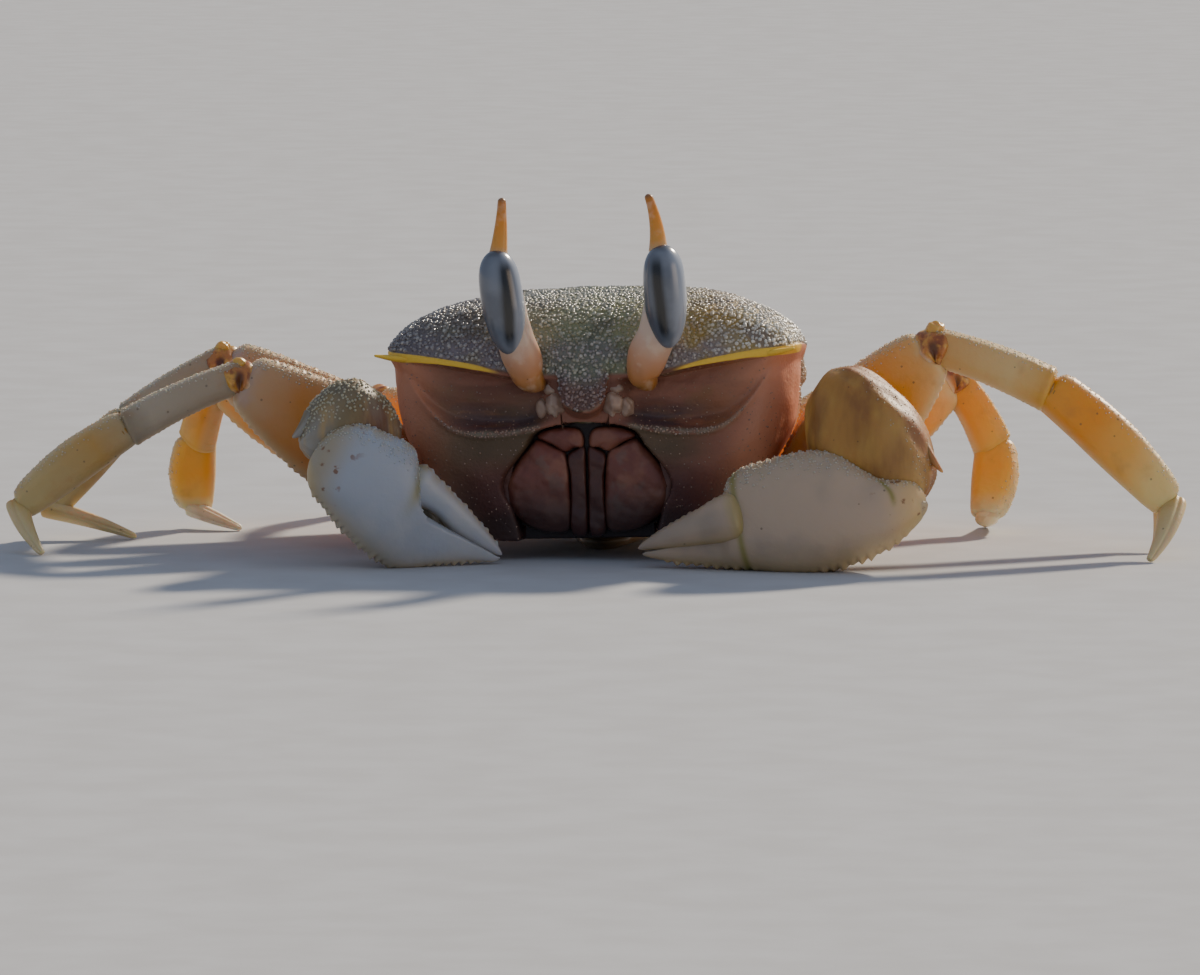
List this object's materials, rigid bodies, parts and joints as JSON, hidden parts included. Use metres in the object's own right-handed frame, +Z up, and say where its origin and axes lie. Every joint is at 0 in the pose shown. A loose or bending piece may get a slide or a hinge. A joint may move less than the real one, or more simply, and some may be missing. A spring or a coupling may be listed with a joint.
{
  "type": "ghost crab",
  "caption": "Crouching horned ghost crab with tall stalked eyes, claws folded in front of its face and walking legs spread to the sides.",
  "frame": {"origin": "on the floor under the middle of the belly, at the flat of the folded abdomen", "axes": "+Z up, -Y towards the way the crab faces, +X towards the crab's own left side, which is the image's right"},
  "size_m": [0.1192, 0.0658, 0.0371],
  "materials": {
    "shell": "granular olive-grey shell with a satin gloss",
    "mouthpart": "smooth brick-brown plate with a satin gloss",
    "leg": "translucent orange leg shell with a satin gloss",
    "leg_tip": "cream leg shell with a satin gloss",
    "claw": "smooth porcelain-white claw shell",
    "stalk": "smooth pink eyestalk",
    "cornea": "glossy blue-grey cornea",
    "horn": "smooth translucent orange horn",
    "belly": "smooth cream belly plate"
  },
  "bodies": {
    "root": {"abdomen": "belly", "carapace": "shell", "claw_left_carpus": "leg", "claw_left_finger": "claw", "claw_left_merus": "leg", "claw_left_palm": "claw", "claw_right_carpus": "leg", "claw_right_finger": "claw", "claw_right_merus": "leg", "claw_right_palm": "claw", "eye_left": "cornea", "eye_right": "cornea", "eyestalk_left": "stalk", "eyestalk_right": "stalk", "horn_left": "horn", "horn_right": "horn", "leg_left_1_base": "leg", "leg_left_1_carpus": "leg_tip", "leg_left_1_dactyl": "leg_tip", "leg_left_1_merus": "leg", "leg_left_1_propodus": "leg", "leg_left_2_base": "leg", "leg_left_2_carpus": "leg_tip", "leg_left_2_dactyl": "leg_tip", "leg_left_2_merus": "leg", "leg_left_2_propodus": "leg", "leg_left_3_base": "leg", "leg_left_3_carpus": "leg_tip", "leg_left_3_dactyl": "leg_tip", "leg_left_3_merus": "leg", "leg_left_3_propodus": "leg", "leg_left_4_base": "leg", "leg_left_4_carpus": "leg_tip", "leg_left_4_dactyl": "leg_tip", "leg_left_4_merus": "leg", "leg_left_4_propodus": "leg", "leg_right_1_base": "leg", "leg_right_1_carpus": "leg_tip", "leg_right_1_dactyl": "leg_tip", "leg_right_1_merus": "leg", "leg_right_1_propodus": "leg", "leg_right_2_base": "leg", "leg_right_2_carpus": "leg_tip", "leg_right_2_dactyl": "leg_tip", "leg_right_2_merus": "leg", "leg_right_2_propodus": "leg", "leg_right_3_base": "leg", "leg_right_3_carpus": "leg_tip", "leg_right_3_dactyl": "leg_tip", "leg_right_3_merus": "leg", "leg_right_3_propodus": "leg", "leg_right_4_base": "leg", "leg_right_4_carpus": "leg_tip", "leg_right_4_dactyl": "leg_tip", "leg_right_4_merus": "leg", "leg_right_4_propodus": "leg", "maxilliped_left": "mouthpart", "maxilliped_right": "mouthpart", "sternum": "belly"}
  },
  "joints": []
}
